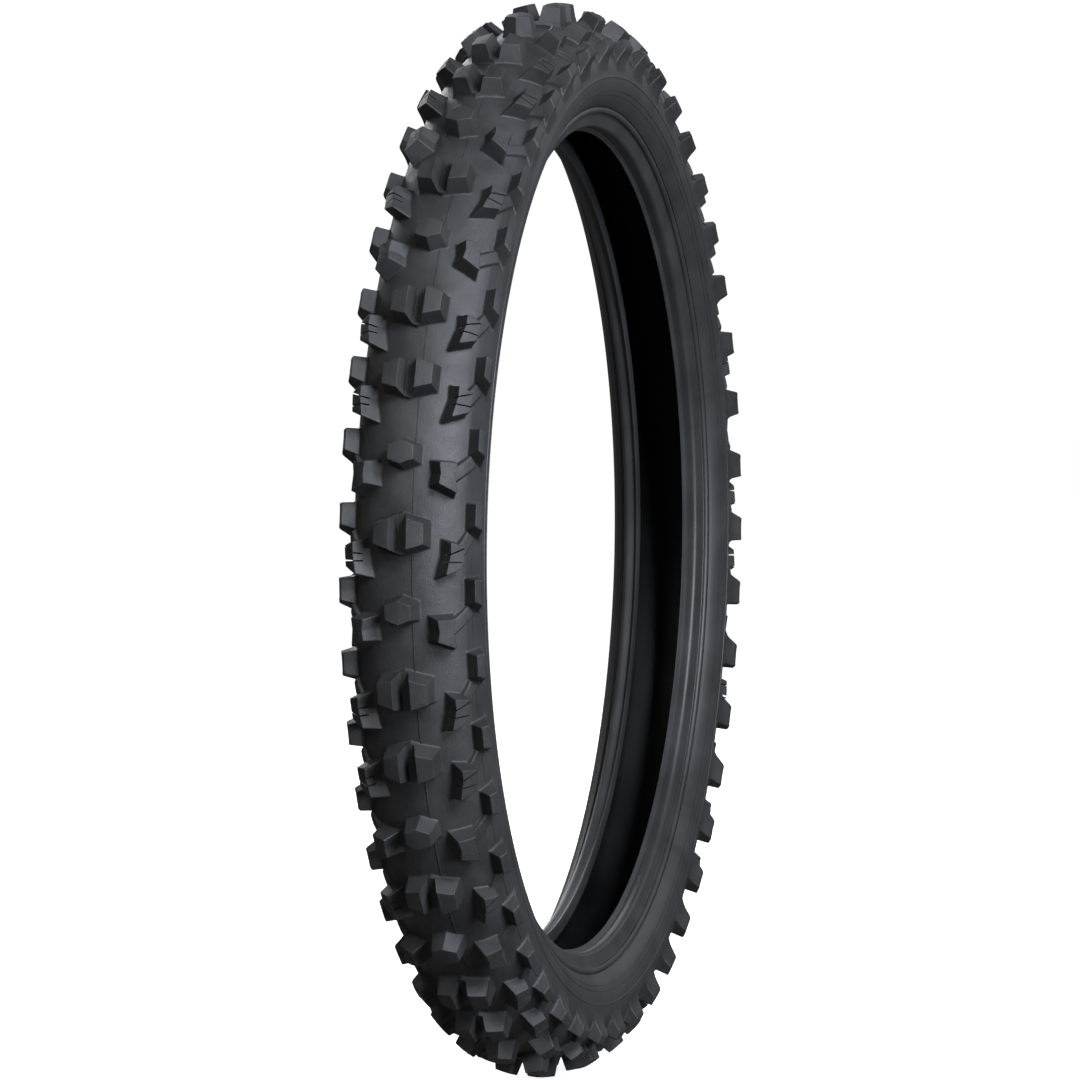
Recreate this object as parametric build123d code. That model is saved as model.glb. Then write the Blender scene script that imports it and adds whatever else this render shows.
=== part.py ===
from build123d import *
import os
from math import cos, radians, sin

# A bare off-road motorcycle front tyre, size class 80/100-21, bias ply, tube type.
# Millimetres. The wheel axis is Y, the origin is the wheel centre and Z is up.
# "left" is the +Y side and "right" is the -Y side.

# ---------------------------------------------------------------- driving dimensions
OUTER_RADIUS = 346.0          # over the centre knobs
TREAD_DEPTH = 12.5            # centre knob height over the tread base

# The outside of the casing is a run of arcs. Each arc ends at a heading, in degrees:
# 0 runs along the axle away from the centre plane, 90 runs towards the axle.
CROWN_RADIUS = 46.5
SHOULDER_RADIUS = 20.0
SIDEWALL_RADIUS = 45.0        # the casing is widest where this arc ends
LOWER_RADIUS = 21.0
FLANK_BLEND = 12.0            # hollow arc between the lower sidewall and the bead
HEEL_RADIUS = 3.0
CROWN_END = 40.9
SHOULDER_END = 64.2
SIDEWALL_END = 90.0
LOWER_END = 142.0
FLANK_HEADING = 106.3         # heading of the straight flank against the rim flange

TREAD_BASE = 3.0              # rubber under the knobs
BREAKER = 0.8                 # reinforcing ply under the tread only
PLY = 0.75                    # each of the two rubberised nylon casing plies
LINER = 0.7
CHAFER = 0.6
TREAD_EDGE = 57.0             # heading at which the tread meets the sidewall

BEAD_SEAT_RADIUS = 265.8      # the cylinder that grips a 21 inch rim
TOE_Y = 16.2
TOE_CHAMFER = 1.2

CORE_RADIUS = 3.0             # wrapped bundle of bead wire
WIRE_DIAMETER = 1.3
WIRE_PITCH = 1.45
WIRE_RINGS = 1                # hexagonal rings of wire round the middle one
WIRE_CLEARANCE = 0.1          # between the wires and the rubber round them
PLY_LOWER_END = 155.0         # heading of the plies before they turn in to the bead
PLY_RUN = 3.05
PLY_TURN_IN = 9.0
PLY_BEAD_HEADING = 95.0
OUTER_TURN_UP = 6.8           # plies turned up outside the bead filler
INNER_TURN_UP = 8.0
CHAFER_RISE = 2.5
FILLER_FOOT = 0.3             # the bead filler starts this far out from the core's middle

KNOB_CREST_RADIUS = 49.6      # lateral radius of the surface through all knob tops
KNOB_DRAFT = 8.0              # degrees on every knob wall
PITCH_REPEATS = 9             # the tread pattern repeats every 40 degrees
SPLIT_ANGLES = (0.0, 7.8, 23.9)     # split centre knobs within one repeat
HEX_ANGLES = (15.8, 31.7)           # small hexagonal centre knobs within one repeat
SHOULDERS_PER_REPEAT = 5
PATTERN_PHASE = -27.35        # first split knob, degrees below the -X direction
SHOULDER_PHASE = -29.4
SIPED_LAG = 2.4               # intermediate knob, degrees below its split knob
SOLID_LAG = 2.3               # intermediate knob, degrees below its hexagonal knob

# Knob tops are outlined as (v, u) points: v runs outwards from the centre plane, u
# runs round the tyre. A row stands at an angle round the crest arc and leans out.
SPLIT_OUTLINE = ((0, -11), (15.6, -6.2), (15.6, 6.2), (0, 11), (-15.6, 6.2), (-15.6, -6.2))
HEX_OUTLINE = ((0, -7.4), (8.1, -4.3), (8.1, 4.3), (0, 7.4), (-8.1, 4.3), (-8.1, -4.3))
SIPED_OUTLINE = ((-3.9, -9.4), (6.1, -6.4), (4.3, 5.8), (-7.0, 10.5), (-3.9, -2.4))
SOLID_OUTLINE = ((-5.9, -8.8), (5.6, -8.8), (4.3, -1.6), (6.0, 9.3), (-5.9, 4.3), (-4.9, -1.9))
SHOULDER_OUTLINE = ((-3.2, -7.5), (3.5, -7.3), (3.5, 8.4), (-3.2, 5.8))
CENTRE_ROW = (0.0, 0.0)       # angle round the crest arc, and lean of the knob's axis
SOLID_ROW = (34.8, 35.0)
SIPED_ROW = (42.5, 41.0)
SHOULDER_ROW = (61.0, 52.0)
TIE_BAR_ROW = (49.0, 49.0)

GROOVE_TOP = 11.0             # across the groove that splits a centre knob
GROOVE_FLOOR = 5.6
GROOVE_DEPTH = 10.0
SIPE_WIDTH = 0.9
SIPE_DEPTH = 6.0
SIPES = (((-5.5, -1.8), (7.5, -6.5)), ((-7.5, 2.3), (6.5, 2.3)))   # (v, u) ends

TIE_BAR_HEIGHT = 2.6          # low bar from each intermediate knob to a shoulder knob
TIE_BAR_WIDTH = 7.0
TIE_BAR_START = (2.7, 2.2)    # its (v, u) start, from the middle of its knob
TIE_BAR_END = (9.0, 12.0)     # its (v, u) end, with u from the shoulder knob's middle
BAR_CLIMB_ANGLE = 4.0         # about how far above its knob that shoulder knob stands

RIM_RIB_HEADING = 125.0       # half-round rib in the hollow above the bead
RIM_RIB_RADIUS = 1.6
SIDE_RIB_HEADING = 87.5       # fine rib round the widest part of the casing
SIDE_RIB_RADIUS = 0.5

BASE_RADIUS = OUTER_RADIUS - TREAD_DEPTH
CASING_DEPTH = TREAD_BASE + BREAKER
REPEAT_ANGLE = 360 / PITCH_REPEATS
CREST_CENTRE = OUTER_RADIUS - KNOB_CREST_RADIUS
CREST_END = 75.0              # how far round the crest arc any knob reaches
KNOB_ROOT = 25.0              # knob prisms start this far under the crest
KNOB_OVER = 6.0               # and end this far over it, before they are cut to shape
SECTOR = 16.0                 # degrees of tyre in which one knob is cut to shape


# ---------------------------------------------------------------- section outlines
# A section lies in the XY plane: X is the wheel radius, Y is the distance from the
# centre plane. Sections are drawn for the left side and mirrored for the right.
def spoke(angle, length=1.0):
    return Vector(cos(radians(angle)), sin(radians(angle))) * length


class Walk:
    """A path of tangent arcs and lines, walked from the crown towards the bead."""

    def __init__(self, point, heading=0.0):
        self.start = Vector(*point)
        self.point = self.start
        self.heading = heading
        self.edges = []

    def arc(self, radius, heading):
        """Turn to a heading; a falling heading turns away from the cavity."""
        reach = radius if heading > self.heading else -radius
        centre = self.point - spoke(self.heading, reach)
        middle = centre + spoke((self.heading + heading) / 2, reach)
        end = centre + spoke(heading, reach)
        self.edges.append(ThreePointArc(self.point, middle, end))
        self.point = end
        self.heading = heading
        return self

    def line(self, length):
        return self.to(self.point + spoke(self.heading + 90, length))

    def to(self, end):
        self.edges.append(Line(self.point, end))
        self.point = end
        return self


def surface_path(depth=0.0, stop=LOWER_END):
    """The outside of the casing rubber, at a depth, as far as a heading."""
    arcs = (
        (CROWN_RADIUS, CROWN_END),
        (SHOULDER_RADIUS, SHOULDER_END),
        (SIDEWALL_RADIUS, SIDEWALL_END),
        (LOWER_RADIUS, LOWER_END),
    )
    walk = Walk((BASE_RADIUS - depth, 0))
    for radius, end in arcs:
        if walk.heading < stop:
            walk.arc(radius - depth, min(end, stop))
    return walk


def ply_path(offset):
    """The casing plies' way down the sidewall and in to the bead."""
    walk = surface_path(CASING_DEPTH + offset)
    walk.arc(LOWER_RADIUS - CASING_DEPTH - offset, PLY_LOWER_END)
    walk.line(PLY_RUN)
    return walk.arc(PLY_TURN_IN + offset, PLY_BEAD_HEADING)


def turned_up(walk, offset, rise):
    """Carry a path on round the bead core and up its outer side."""
    walk.arc(CORE_RADIUS + offset, PLY_BEAD_HEADING - 180)
    return walk.line(rise)


def face_between(first, second):
    """The face between two walked paths, closed by a straight line at each end."""
    ends = [Line(first.start, second.start), Line(first.point, second.point)]
    return make_face(first.edges + second.edges + ends)


def tread_layer(outer_depth, inner_depth):
    """A layer that lies under the tread only."""
    return face_between(
        surface_path(outer_depth, TREAD_EDGE), surface_path(inner_depth, TREAD_EDGE)
    )


def ply(offset, rise):
    """One casing ply, turned up round the bead core."""
    outside = turned_up(ply_path(offset), offset, rise)
    inside = turned_up(ply_path(offset + PLY), offset + PLY, rise)
    return face_between(outside, inside)


def chafer():
    """The strip that wraps the plies where the rim would rub them."""
    near, far = 2 * PLY, 2 * PLY + CHAFER
    paths = [
        turned_up(Walk(ply_path(offset).point, PLY_BEAD_HEADING), offset, CHAFER_RISE)
        for offset in (near, far)
    ]
    return face_between(*paths)


def whole_section():
    """The left half of the moulded tyre without its knobs."""
    walk = surface_path()
    walk.arc(FLANK_BLEND, FLANK_HEADING)
    heel_top = BEAD_SEAT_RADIUS + HEEL_RADIUS * (1 + cos(radians(FLANK_HEADING)))
    walk.line((walk.point.X - heel_top) / sin(radians(FLANK_HEADING)))
    walk.arc(HEEL_RADIUS, 180)
    walk.to(Vector(BEAD_SEAT_RADIUS, TOE_Y + TOE_CHAMFER))
    walk.to(Vector(BEAD_SEAT_RADIUS + TOE_CHAMFER, TOE_Y))
    return face_between(walk, ply_path(2 * PLY + LINER))


def core_centre():
    return ply_path(0).point + spoke(PLY_BEAD_HEADING, CORE_RADIUS)


def wires():
    """Packed bead wires: each hexagonal ring has six more wires than the last."""
    places = [core_centre()]
    for count in range(1, WIRE_RINGS + 1):
        corners = [core_centre() + spoke(60 * side, WIRE_PITCH * count) for side in range(7)]
        for first, second in zip(corners, corners[1:]):
            places += [first + (second - first) * (step / count) for step in range(count)]
    return Sketch() + [Pos(*place) * Circle(WIRE_DIAMETER / 2) for place in places]


def core_wrap():
    """Rubber round the wires, with a hexagonal hole that just clears them."""
    wire_radius = WIRE_DIAMETER / 2 + WIRE_CLEARANCE
    clear = WIRE_PITCH * WIRE_RINGS + wire_radius / cos(radians(30))
    return Pos(*core_centre()) * (Circle(CORE_RADIUS) - RegularPolygon(clear, 6))


def wedge():
    """The space between the plies and their turn-ups, down to the core's middle."""
    down = ply_path(0)
    up = turned_up(ply_path(0), 0, OUTER_TURN_UP)
    tip = down.edges[-2] @ 0
    foot = up.edges[-1] @ 0
    outline = [
        down.edges[-2],
        down.edges[-1],
        Line(down.point, foot),
        up.edges[-1],
        Line(up.point, tip),
    ]
    return make_face(outline)


def filler():
    """Hard rubber in the wedge over the core. Its thin tails round the core are left off."""
    rise = (ply_path(0).edges[-2] @ 0) - core_centre()
    reach = rise.length
    turn = Rot(0, 0, Vector(1, 0).get_signed_angle(rise))
    over = turn * Pos(FILLER_FOOT + reach, 0) * Rectangle(2 * reach, 2 * reach)
    return (wedge() - Pos(*core_centre()) * Circle(CORE_RADIUS)) & (Pos(*core_centre()) * over)


def side_ribs():
    """Two round ribs of the sidewall, each half sunk in to its surface."""
    hollow = surface_path().arc(FLANK_BLEND, RIM_RIB_HEADING)
    widest = surface_path(0, SIDE_RIB_HEADING)
    ribs = ((hollow.point, RIM_RIB_RADIUS), (widest.point, SIDE_RIB_RADIUS))
    return [Pos(*point) * Circle(radius) for point, radius in ribs]


def ring(face):
    return revolve(face, Axis.Y, 360)


def centre_ring(face):
    """A ring across the centre plane, from its left half section."""
    return ring(face + mirror(face, Plane.XZ))


# ---------------------------------------------------------------- tread knobs
# A knob is shaped at +X, where u runs along +Z, and then turned to its place. An
# angle round the tyre is in degrees below the -X direction.
def turned(shape, angle):
    return Rot(0, 180 - angle, 0) * shape


def row_plane(row):
    """The plane of a knob's top: v along its X direction, u along its Y direction."""
    angle, lean = row
    origin = Vector(CREST_CENTRE, 0) + spoke(angle, KNOB_CREST_RADIUS)
    return Plane(origin=origin, x_dir=spoke(lean + 90), z_dir=spoke(lean))


def tread_space(top_edges):
    """A short length of the space over the casing, under the given top edges."""
    last = top_edges[-1] @ 1
    under = surface_path(0, SIDEWALL_END)
    side = [Line(last, under.point), Line(top_edges[0] @ 0, under.start)]
    section = make_face(top_edges + side + under.edges)
    both = section + mirror(section, Plane.XZ)
    return Rot(0, -SECTOR / 2, 0) * revolve(both, Axis.Y, SECTOR)


def knob_space():
    return tread_space([CenterArc((CREST_CENTRE, 0), KNOB_CREST_RADIUS, 0, CREST_END)])


def bar_space():
    return tread_space(surface_path(-TIE_BAR_HEIGHT, SHOULDER_END).edges)


def prism(plane, outline):
    """A drafted block whose walls pass through an outline on the crest plane."""
    top = make_face(Polyline(*outline, close=True))
    up = extrude(top, KNOB_OVER, taper=KNOB_DRAFT)
    down = extrude(top, -KNOB_ROOT, taper=-KNOB_DRAFT)
    return plane * (up + down)


def groove():
    """The channel along u that splits a centre knob."""
    over = 1.0
    slope = (GROOVE_TOP - GROOVE_FLOOR) / 2 / GROOVE_DEPTH
    half_top = GROOVE_TOP / 2 + slope * over
    floor = OUTER_RADIUS - GROOVE_DEPTH
    section = make_face(Polyline(
        (floor, -GROOVE_FLOOR / 2),
        (OUTER_RADIUS + over, -half_top),
        (OUTER_RADIUS + over, half_top),
        (floor, GROOVE_FLOOR / 2),
        close=True,
    ))
    return extrude(section, KNOB_ROOT, both=True)


def sipe(plane, ends):
    """A narrow upright cut from one (v, u) point to another."""
    first, second = (Vector(*end) for end in ends)
    run = second - first
    blade = Box(run.length, SIPE_WIDTH, 2 * SIPE_DEPTH)
    turn = Rot(0, 0, Vector(1, 0).get_signed_angle(run))
    return plane * (Pos(*((first + second) / 2)) * turn * blade)


def round_tyre(shape, offsets):
    """Copies of a shape at each offset within each repeat of the pattern."""
    return [
        turned(shape, repeat * REPEAT_ANGLE + offset)
        for repeat in range(PITCH_REPEATS)
        for offset in offsets
    ]


def make_knobs():
    """Lists of separate knobs by name. The rows off centre are the left side's."""
    space = knob_space()
    siped_plane = row_plane(SIPED_ROW)
    split = prism(row_plane(CENTRE_ROW), SPLIT_OUTLINE) & space - groove()
    small = prism(row_plane(CENTRE_ROW), HEX_OUTLINE) & space
    siped = prism(siped_plane, SIPED_OUTLINE) & space
    for ends in SIPES:
        siped -= sipe(siped_plane, ends)
    solid = prism(row_plane(SOLID_ROW), SOLID_OUTLINE) & space
    shoulder = prism(row_plane(SHOULDER_ROW), SHOULDER_OUTLINE) & space
    split_at = [PATTERN_PHASE + angle for angle in SPLIT_ANGLES]
    hex_at = [PATTERN_PHASE + angle for angle in HEX_ANGLES]
    step = REPEAT_ANGLE / SHOULDERS_PER_REPEAT
    shoulder_at = [SHOULDER_PHASE + step * k for k in range(SHOULDERS_PER_REPEAT)]
    siped_at = [angle + SIPED_LAG for angle in split_at]
    solid_at = [angle + SOLID_LAG for angle in hex_at]
    barred = [(angle, SIPED_ROW, siped) for angle in siped_at]
    barred += [(angle, SOLID_ROW, solid) for angle in solid_at]
    bars = []
    for angle, row, knob in barred:
        above = min(shoulder_at, key=lambda place: abs(angle - BAR_CLIMB_ANGLE - place))
        bars += round_tyre(tie_bar(row, knob, shoulder, above - angle), [angle])
    return {
        "centre_split_knobs": round_tyre(split, split_at),
        "centre_hex_knobs": round_tyre(small, hex_at),
        "intermediate_siped_knobs": round_tyre(siped, siped_at),
        "intermediate_solid_knobs": round_tyre(solid, solid_at),
        "shoulder_knobs": round_tyre(shoulder, shoulder_at),
        "tie_bars": bars,
    }


def tie_bar(row, knob, shoulder, climb):
    """The low bar between a knob and the shoulder knob above it, cut to fit both."""
    plane = row_plane(TIE_BAR_ROW)
    start_v, start_u = TIE_BAR_START
    end_v, end_u = TIE_BAR_END
    start = Vector(start_v + KNOB_CREST_RADIUS * radians(row[0] - TIE_BAR_ROW[0]), start_u)
    end = Vector(end_v, end_u + plane.origin.X * radians(climb))
    run = end - start
    turn = Rot(0, 0, Vector(1, 0).get_signed_angle(run))
    strip = Pos(*((start + end) / 2)) * turn * Rectangle(run.length, TIE_BAR_WIDTH)
    block = plane * extrude(strip, KNOB_ROOT, both=True)
    above = Rot(0, -climb, 0) * shoulder
    return (block & bar_space()) - knob - above


# ---------------------------------------------------------------- the whole tyre
def build():
    tread = tread_layer(0, TREAD_BASE)
    breaker = tread_layer(TREAD_BASE, CASING_DEPTH)
    outer_ply = ply(0, OUTER_TURN_UP)
    inner_ply = ply(PLY, INNER_TURN_UP)
    liner = face_between(ply_path(2 * PLY), ply_path(2 * PLY + LINER))
    core_disc = Pos(*core_centre()) * Circle(CORE_RADIUS)
    side = whole_section() + side_ribs()
    for face in (tread, breaker, outer_ply, inner_ply, liner, wedge(), core_disc, chafer()):
        side -= face
    nodes = {
        "inner_liner": [centre_ring(liner)],
        "casing_ply_inner": [centre_ring(inner_ply)],
        "casing_ply_outer": [centre_ring(outer_ply)],
        "breaker_ply": [centre_ring(breaker)],
        "tread_base": [centre_ring(tread)],
    }
    paired = {
        "sidewall": ring(side).solids(),
        "bead_wires": ring(wires()).solids(),
        "bead_core_wrap": [ring(core_wrap())],
        "bead_filler": [ring(filler())],
        "chafer_strip": [ring(chafer())],
    }
    for name, solids in make_knobs().items():
        if name.startswith("centre"):
            nodes[name] = solids
        else:
            paired[name] = solids
    for name, solids in paired.items():
        nodes[f"{name}_left"] = solids
        nodes[f"{name}_right"] = [mirror(solid, Plane.XZ) for solid in solids]
    return nodes


os.makedirs("parts", exist_ok=True)
for node, solids in build().items():
    shape = solids[0] if len(solids) == 1 else Compound(children=solids)
    export_step(shape, f"parts/{node}.step")
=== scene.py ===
import bpy
import numpy as np
from math import atan2, cos, pi, radians, sin
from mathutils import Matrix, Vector


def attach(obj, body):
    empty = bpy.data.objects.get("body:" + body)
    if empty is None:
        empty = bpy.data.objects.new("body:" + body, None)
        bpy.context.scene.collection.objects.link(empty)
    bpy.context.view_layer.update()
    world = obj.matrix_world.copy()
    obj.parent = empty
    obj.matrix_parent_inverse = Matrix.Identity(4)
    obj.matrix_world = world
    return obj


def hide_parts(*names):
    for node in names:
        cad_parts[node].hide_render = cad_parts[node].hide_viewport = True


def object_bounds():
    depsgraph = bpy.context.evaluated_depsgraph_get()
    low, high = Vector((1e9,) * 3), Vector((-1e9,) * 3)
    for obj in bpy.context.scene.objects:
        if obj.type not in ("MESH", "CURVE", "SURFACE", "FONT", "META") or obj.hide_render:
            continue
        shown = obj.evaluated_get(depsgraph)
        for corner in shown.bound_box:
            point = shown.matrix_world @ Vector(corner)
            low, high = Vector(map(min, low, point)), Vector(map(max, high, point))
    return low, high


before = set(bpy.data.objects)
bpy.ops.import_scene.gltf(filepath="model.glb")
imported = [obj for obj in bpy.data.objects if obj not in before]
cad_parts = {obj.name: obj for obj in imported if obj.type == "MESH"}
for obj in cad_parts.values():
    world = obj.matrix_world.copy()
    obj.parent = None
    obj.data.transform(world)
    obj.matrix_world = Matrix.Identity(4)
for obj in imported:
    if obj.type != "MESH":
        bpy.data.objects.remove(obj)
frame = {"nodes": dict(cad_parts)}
cad_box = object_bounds()

# Lengths are millimetres in the row frame until a mesh is written, in metres: the wheel
# axis is Y, the origin is the wheel centre and Z is up. "left" is +Y, "right" is -Y.
MM = 0.001

OUTER_RADIUS = 346.0
TREAD_DEPTH = 12.5
BASE_RADIUS = OUTER_RADIUS - TREAD_DEPTH
# The outside of the casing as (radius, heading where it ends). A heading is the angle of
# the surface's outward normal: 0 points away from the axle and 90 points along it.
CASING_ARCS = ((46.5, 40.9), (20.0, 64.2), (45.0, 90.0), (21.0, 142.0))
LOWER_RADIUS, LOWER_END = CASING_ARCS[-1]
TREAD_EDGE = 57.0             # heading where the tread band meets the sidewall
TREAD_BASE = 3.0
CASING_DEPTH = 3.8
PLY = 0.75
LINER = 0.7
CHAFER = 0.6
FLANK_BLEND = 12.0
FLANK_HEADING = 106.3
HEEL_RADIUS = 3.0
BEAD_SEAT_RADIUS = 265.8
TOE_Y = 16.2
CORE_RADIUS = 3.0
PLY_LOWER_END = 155.0
PLY_RUN = 3.05                # straight part of a ply, above the bead core
PLY_TURN_IN = 9.0
PLY_BEAD_HEADING = 95.0
OUTER_TURN_UP = 6.8
INNER_TURN_UP = 8.0
CHAFER_RISE = 2.5

CREST_RADIUS = 49.6           # lateral radius of the surface through all knob tops
CREST_CENTRE = OUTER_RADIUS - CREST_RADIUS
REPEATS = 9                   # the tread pattern repeats round the wheel
REPEAT_ANGLE = 360 / REPEATS
PATTERN_PHASE = -27.35
SHOULDER_PHASE = -29.4
SPLIT_AT = [PATTERN_PHASE + angle for angle in (0.0, 7.8, 23.9)]
HEX_AT = [PATTERN_PHASE + angle for angle in (15.8, 31.7)]
SIPED_AT = [angle + 2.4 for angle in SPLIT_AT]
SOLID_AT = [angle + 2.3 for angle in HEX_AT]
SHOULDER_AT = [SHOULDER_PHASE + 8.0 * k for k in range(5)]


# ------------------------------------------------------------------ section geometry
def spoke(angle, length=1.0):
    """A step of some length in the section, in the direction of a heading."""
    return np.array((cos(radians(angle)), sin(radians(angle)))) * length


def casing_sectors():
    """The casing's arcs as (centre, radius, first heading, last heading)."""
    point = np.array((BASE_RADIUS, 0.0))
    heading = 0.0
    sectors = []
    for radius, end in CASING_ARCS:
        centre = point - spoke(heading, radius)
        sectors.append((centre, radius, heading, end))
        point = centre + spoke(end, radius)
        heading = end
    return sectors


SECTORS = casing_sectors()


def casing_point(heading, height=0.0):
    """A point of the section at a heading, some way outside the casing surface."""
    centre, radius = next((centre, radius) for centre, radius, _, end in SECTORS if heading <= end)
    return centre + spoke(heading, radius + height)


def casing_distance(x, y, z):
    """How far outside the casing surface each point lies."""
    wheel_radius = np.hypot(x, z)
    distance = np.full(np.shape(wheel_radius), np.inf)
    for index, (centre, radius, start, end) in enumerate(SECTORS):
        across, out = np.abs(y) - centre[1], wheel_radius - centre[0]
        angle = np.degrees(np.arctan2(across, out))
        inside = (angle >= start) | (index == 0)
        if index < len(SECTORS) - 1:
            inside &= angle < end
        distance = np.where(inside & np.isinf(distance), np.hypot(across, out) - radius, distance)
    return distance


def crest_distance(x, y, z):
    """How far outside the surface through the knob tops each point lies."""
    return np.hypot(np.hypot(x, z) - CREST_CENTRE, y) - CREST_RADIUS


SURFACE_STEP = 3.0            # degrees between the points of a walk along the casing
BEAD_STEP = 12.0              # the same on the tight turn round the bead core


class Walk:
    """A path of arcs and lines in the section, sampled as (wheel radius, y) points."""

    def __init__(self, point, heading=0.0):
        self.points = [np.array(point, float)]
        self.heading = heading

    def arc(self, radius, heading, step=4.0):
        """Along a circle to a new heading, with a point at least every step degrees."""
        reach = radius if heading > self.heading else -radius
        centre = self.points[-1] - spoke(self.heading, reach)
        count = max(2, int(np.ceil(abs(heading - self.heading) / step)))
        for k in range(1, count + 1):
            angle = self.heading + (heading - self.heading) * k / count
            self.points.append(centre + spoke(angle, reach))
        self.heading = heading
        return self

    def line(self, length, pieces=1):
        """Straight on from where the walk stands."""
        start = self.points[-1]
        for k in range(1, pieces + 1):
            self.points.append(start + spoke(self.heading + 90, length * k / pieces))
        return self


def surface_walk(depth, stop):
    """Along the casing at a depth under its surface, from the middle to a heading."""
    walk = Walk((BASE_RADIUS - depth, 0))
    for radius, end in CASING_ARCS:
        if walk.heading < stop:
            walk.arc(radius - depth, min(end, stop), SURFACE_STEP)
    return walk


def ply_walk(offset):
    """The path of a ply's face, from the middle of the tread to the inside of the bead."""
    walk = surface_walk(CASING_DEPTH + offset, LOWER_END)
    walk.arc(LOWER_RADIUS - CASING_DEPTH - offset, PLY_LOWER_END)
    walk.line(PLY_RUN, 2)
    return walk.arc(PLY_TURN_IN + offset, PLY_BEAD_HEADING)


def turned_up(walk, offset, rise):
    """The walk taken on round the bead core and up its outer side."""
    walk.arc(CORE_RADIUS + offset, PLY_BEAD_HEADING - 180, BEAD_STEP)
    return walk.line(rise)


# ------------------------------------------------------------------ mesh helpers
SHARP_ANGLE = 32.0            # edges that turn more than this are shaded as sharp
RING_SEGMENTS = 540
LINER_SEGMENTS = 480


def new_piece(name, verts, faces):
    """A smooth shaded mesh object from points in millimetres."""
    mesh = bpy.data.meshes.new(name)
    mesh.from_pydata((np.asarray(verts) * MM).tolist(), [], faces)
    mesh.validate()
    mesh.update()
    mesh.shade_smooth()
    mesh.set_sharp_from_angle(angle=radians(SHARP_ANGLE))
    piece = bpy.data.objects.new(name, mesh)
    bpy.context.scene.collection.objects.link(piece)
    return piece


def revolved(name, section, segments=RING_SEGMENTS):
    """A ring from a closed section of (wheel radius, y) points."""
    section = np.array(section)
    count = len(section)
    angles = np.arange(segments) * 2 * pi / segments
    radius, across = section[:, 0], section[:, 1]
    verts = np.stack([
        np.outer(np.cos(angles), radius),
        np.tile(across, (segments, 1)),
        np.outer(-np.sin(angles), radius),
    ], -1).reshape(-1, 3)
    ring = np.arange(segments)[:, None] * count
    after = (ring + count) % (segments * count)
    here = np.arange(count)[None, :]
    there = (here + 1) % count
    faces = np.stack([ring + here, after + here, after + there, ring + there], -1)
    faces = faces.reshape(-1, 4)
    area = np.sum(radius * np.roll(across, -1) - np.roll(radius, -1) * across)
    if area < 0:
        faces = faces[:, ::-1]
    return new_piece(name, verts, faces.tolist())


def mirrored(section):
    """The same section on the other side of the wheel's middle plane."""
    return [(radius, -across) for radius, across in section]


def stand_in(piece, slot, *nodes):
    """The piece replaces CAD nodes, which are hidden, and is attached to the root body; slot is not used.
    """
    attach(piece, "root")
    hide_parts(*nodes)
    return piece


# ------------------------------------------------------------------ ring shaped rubber
SEAM_HEADING = -7.3           # the low ridge left where the mould halves meet
SEAM_HALF = 0.55              # half its width, in degrees of heading
SEAM_HEIGHT = 0.45
SEAM_CLEAR = 1.2              # no other point of the section stands this near to it
TREAD_POINTS = 77
RIM_RIB = (125.0, 2.1)        # heading in the hollow above the bead, and radius
SIDE_RIB = (87.5, 0.5)        # the same on the widest part of the casing
# Shallow steps that stand up or cut in: heading, half width in degrees and height.
RIM_GROOVE = (136.8, 2.0, -0.9)
SIDE_STEPS = ((68.0, 0.5, -0.35), (108.0, 0.5, 0.3), (118.0, 0.5, -0.3))
STEP_CLEAR = 0.3              # gap between a step and the next plain point
STEP_TOP = 0.6                # share of a step's half width that is at full height
SIDE_SPACING = 1.2            # degrees between the sidewall's plain points
RIB_CLEAR = 1.1               # points this many radii from a rib's centre are kept
RIB_TURNS = range(-80, 81, 16)
HEEL_STEP = 9.0
# The bead seat from near the heel to the toe, as (radius over the seat's, y over TOE_Y):
# a shallow hollow, and then the ridge of the toe, which stands in towards the axle.
TOE_LIP = ((0.0, 5.2), (0.45, 3.0), (0.3, 2.3), (-1.5, 0.95), (-2.2, 0.5), (-2.3, 0.1),
           (-1.6, -0.3), (0.5, -0.35))


def tread_section():
    """The band of rubber under the knobs."""
    lifts = {heading: 0.0 for heading in np.linspace(-TREAD_EDGE, TREAD_EDGE, TREAD_POINTS)
             if abs(heading - SEAM_HEADING) > SEAM_CLEAR}
    for side, lift in ((-1, 0.0), (-0.5, SEAM_HEIGHT), (0.5, SEAM_HEIGHT), (1, 0.0)):
        lifts[SEAM_HEADING + side * SEAM_HALF] = lift
    outside = []
    for heading in sorted(lifts):
        radius, across = casing_point(abs(heading), lifts[heading])
        outside.append((radius, across if heading > 0 else -across))
    half = surface_walk(TREAD_BASE, TREAD_EDGE).points
    return outside + half[::-1] + mirrored(half[1:])


def with_steps(headings, steps):
    """Headings with a height for each, where steps stand up or cut in."""
    lifts = {heading: 0.0 for heading in headings}
    for middle, half, height in steps:
        lifts = {key: lift for key, lift in lifts.items() if abs(key - middle) > half + STEP_CLEAR}
        for side, lift in ((-1, 0.0), (-STEP_TOP, height), (STEP_TOP, height), (1, 0.0)):
            lifts[middle + side * half] = lift
    return lifts


def with_rib(points, centre, heading, radius):
    """Points with a half-round rib put in, round a centre on the path."""
    far = [np.hypot(*(point - centre)) > radius * RIB_CLEAR for point in points]
    clear = [point for point, is_far in zip(points, far) if is_far]
    first = far.index(False)
    bow = [centre + spoke(heading + turn, radius) for turn in RIB_TURNS]
    return clear[:first] + bow + clear[first:]


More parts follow.
